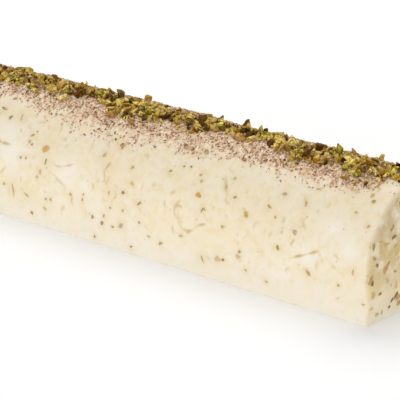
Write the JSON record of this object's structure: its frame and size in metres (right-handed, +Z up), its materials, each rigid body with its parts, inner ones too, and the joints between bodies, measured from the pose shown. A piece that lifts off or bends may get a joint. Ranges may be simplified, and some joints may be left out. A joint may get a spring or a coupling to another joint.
{
  "type": "iced nougat log",
  "caption": "Frozen nougat cream log with a round vaulted top, flat foot and trimmed ends, and a ragged strip of chopped pistachio fused along its ridge.",
  "frame": {"origin": "middle of the flat foot", "axes": "+X along the log towards the trimmed end shown, -Y out of the front face, +Z up from the foot to the ridge"},
  "size_m": [0.2999, 0.08, 0.0666],
  "materials": {
    "frozen_nougat": "matt ivory frozen cream, slightly translucent, with nut crumbs, cocoa specks and chopped pistachio"
  },
  "bodies": {
    "root": {"iced_nougat": "frozen_nougat"}
  },
  "joints": []
}
